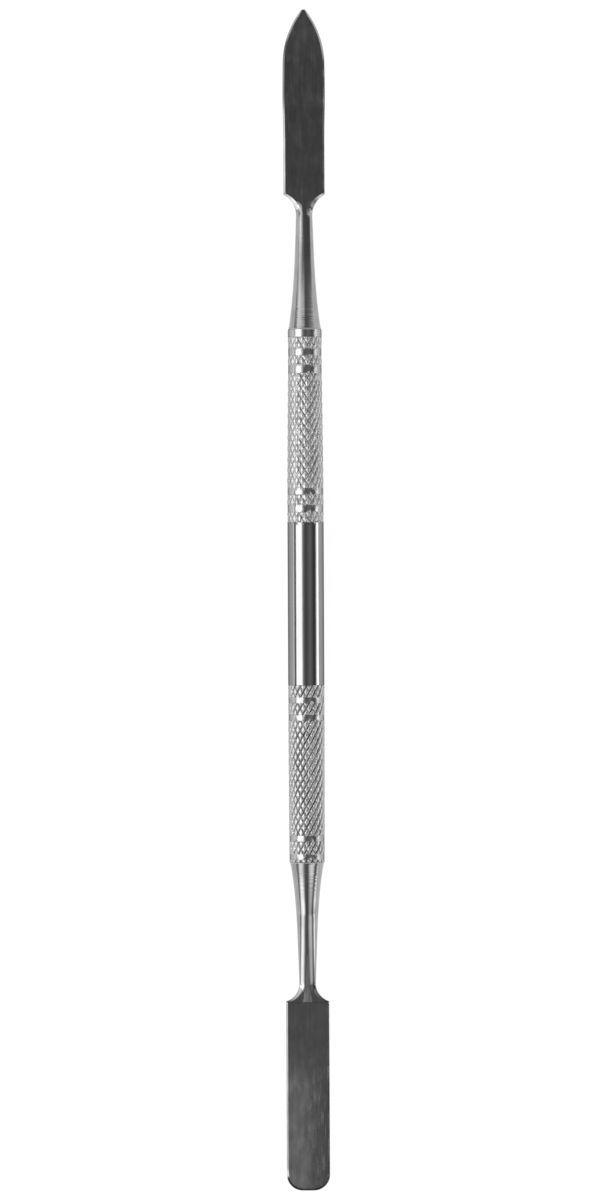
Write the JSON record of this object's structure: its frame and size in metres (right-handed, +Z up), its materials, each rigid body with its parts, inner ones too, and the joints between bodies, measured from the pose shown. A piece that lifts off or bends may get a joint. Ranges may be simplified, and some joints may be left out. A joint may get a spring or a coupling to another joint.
{
  "type": "sculpting spatula",
  "caption": "Slim double-ended steel spatula with a leaf-shaped blade at one end, a square-ended blade at the other and a round knurled handle between, for shaping clay or wax.",
  "frame": {"origin": "on the surface that the tool lies on, under the middle of its length and width", "axes": "+Y along the tool towards the leaf blade's tip, +Z up out of the blades' flat faces, +X across the blades"},
  "size_m": [0.0066, 0.178, 0.0055],
  "materials": {
    "handle_steel": "stainless steel, rolled diamond knurl with bright crests and dark grooves, smooth bands and barrel turned and lightly polished",
    "blade_steel": "stainless steel, blade faces ground and satin polished lengthwise with bright bevelled edges, shanks turned",
    "silver_braze": "silver-grey brazing filler, dull, filed flush"
  },
  "bodies": {
    "root": {"handle": "handle_steel", "leaf_blade": "blade_steel", "square_blade": "blade_steel", "leaf_braze_ring": "silver_braze", "square_braze_ring": "silver_braze"}
  },
  "joints": []
}
